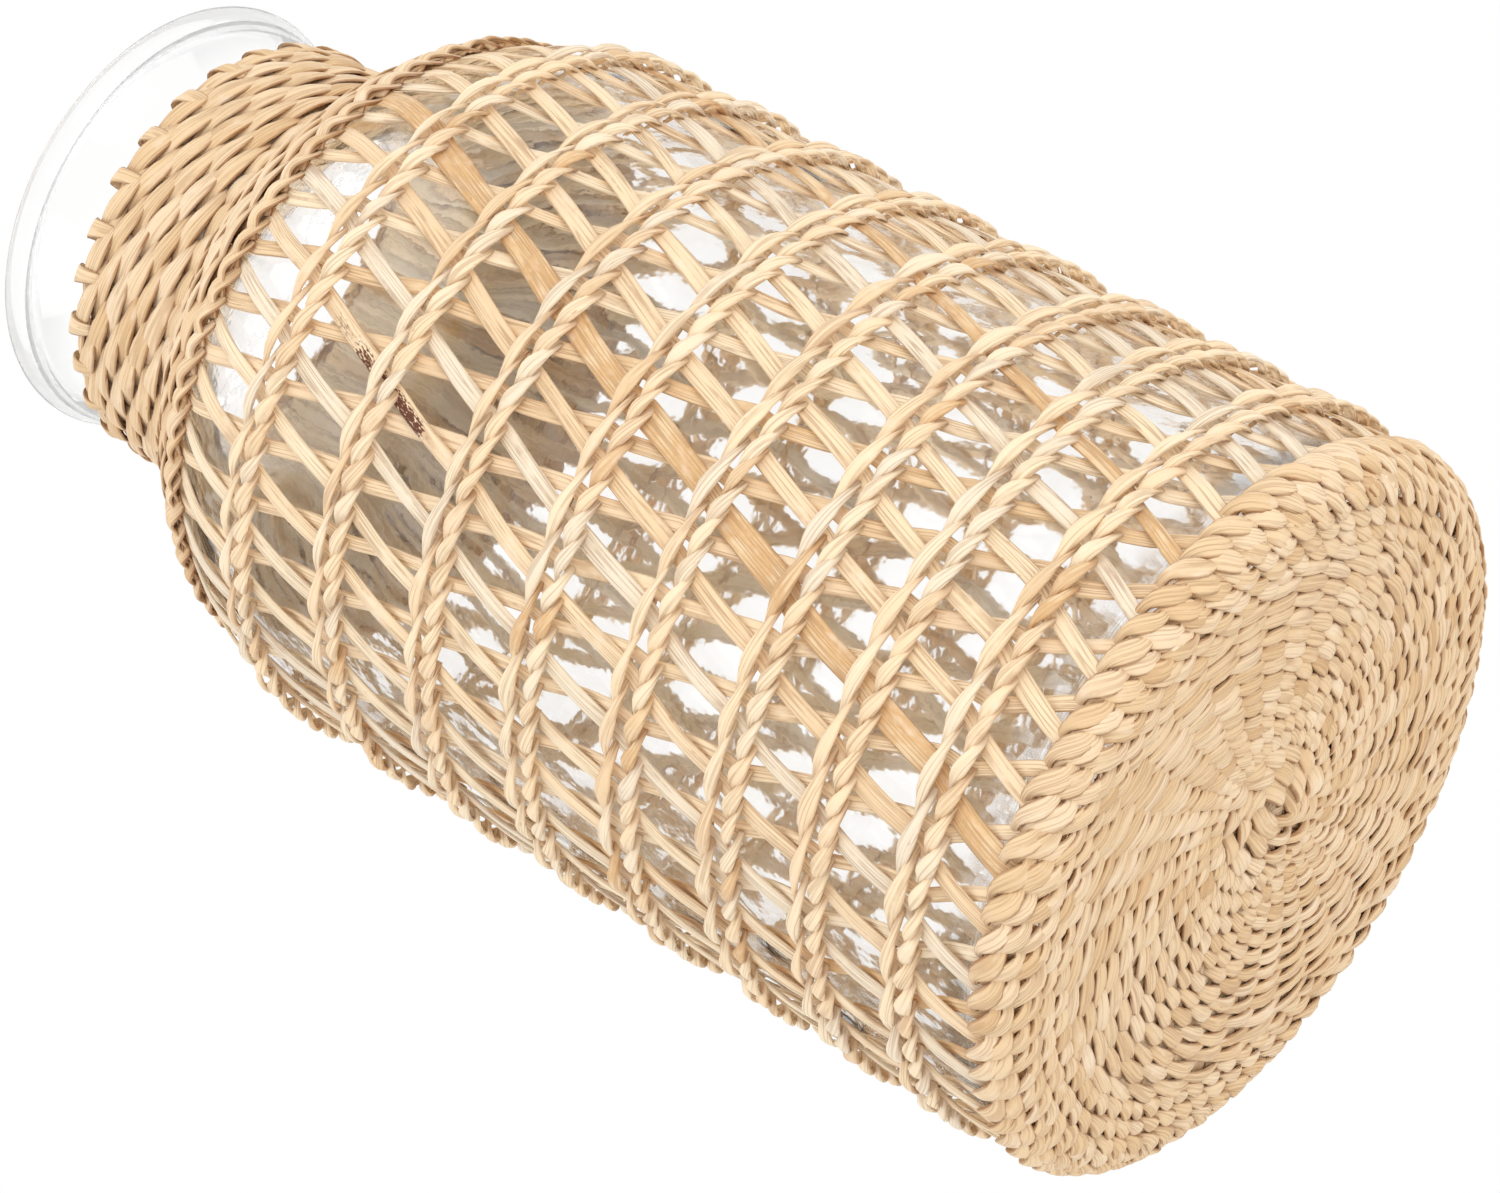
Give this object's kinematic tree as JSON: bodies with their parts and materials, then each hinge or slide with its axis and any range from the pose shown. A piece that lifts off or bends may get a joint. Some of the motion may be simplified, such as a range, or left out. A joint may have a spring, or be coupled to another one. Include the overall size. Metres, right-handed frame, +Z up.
{
  "type": "woven-covered glass vase",
  "caption": "Clear glass vase with a rolled lip in a straw-coloured woven cover: crossed stakes, twined rings, a closely woven collar and a flat twined base.",
  "frame": {"origin": "middle of the flat underside of the base mat", "axes": "+Z up along the axis of the vase, -Y towards the side that the picture shows"},
  "size_m": [0.182, 0.182, 0.3429],
  "materials": {
    "glass": "clear, smooth, slightly wavy blown glass",
    "stake": "flat split stakes, dry and matt with fine lengthwise grain",
    "weaver": "twisted split strands, matt with a faint sheen",
    "base_weave": "closely twined strands, matt"
  },
  "bodies": {
    "root": {"glass_vase": "glass", "base_mat": "base_weave", "base_band": "base_weave", "stake_pair_01": "stake", "stake_pair_02": "stake", "stake_pair_03": "stake", "stake_pair_04": "stake", "stake_pair_05": "stake", "stake_pair_06": "stake", "stake_pair_07": "stake", "stake_pair_08": "stake", "stake_pair_09": "stake", "stake_pair_10": "stake", "stake_pair_11": "stake", "stake_pair_12": "stake", "stake_pair_13": "stake", "stake_pair_14": "stake", "stake_pair_15": "stake", "stake_pair_16": "stake", "stake_pair_17": "stake", "stake_pair_18": "stake", "stake_pair_19": "stake", "stake_pair_20": "stake", "stake_pair_21": "stake", "stake_pair_22": "stake", "stake_pair_23": "stake", "stake_pair_24": "stake", "stake_pair_25": "stake", "stake_pair_26": "stake", "stake_pair_27": "stake", "stake_pair_28": "stake", "stake_pair_29": "stake", "stake_pair_30": "stake", "stake_pair_31": "stake", "stake_pair_32": "stake", "stake_pair_33": "stake", "stake_pair_34": "stake", "stake_pair_35": "stake", "stake_pair_36": "stake", "stake_pair_37": "stake", "ring_1": "weaver", "ring_2": "weaver", "ring_3": "weaver", "ring_4": "weaver", "ring_5": "weaver", "ring_6": "weaver", "ring_7": "weaver", "ring_8": "weaver", "shoulder_row": "weaver", "shoulder_weave": "weaver", "collar_weave": "weaver", "collar_border": "weaver"}
  },
  "joints": []
}
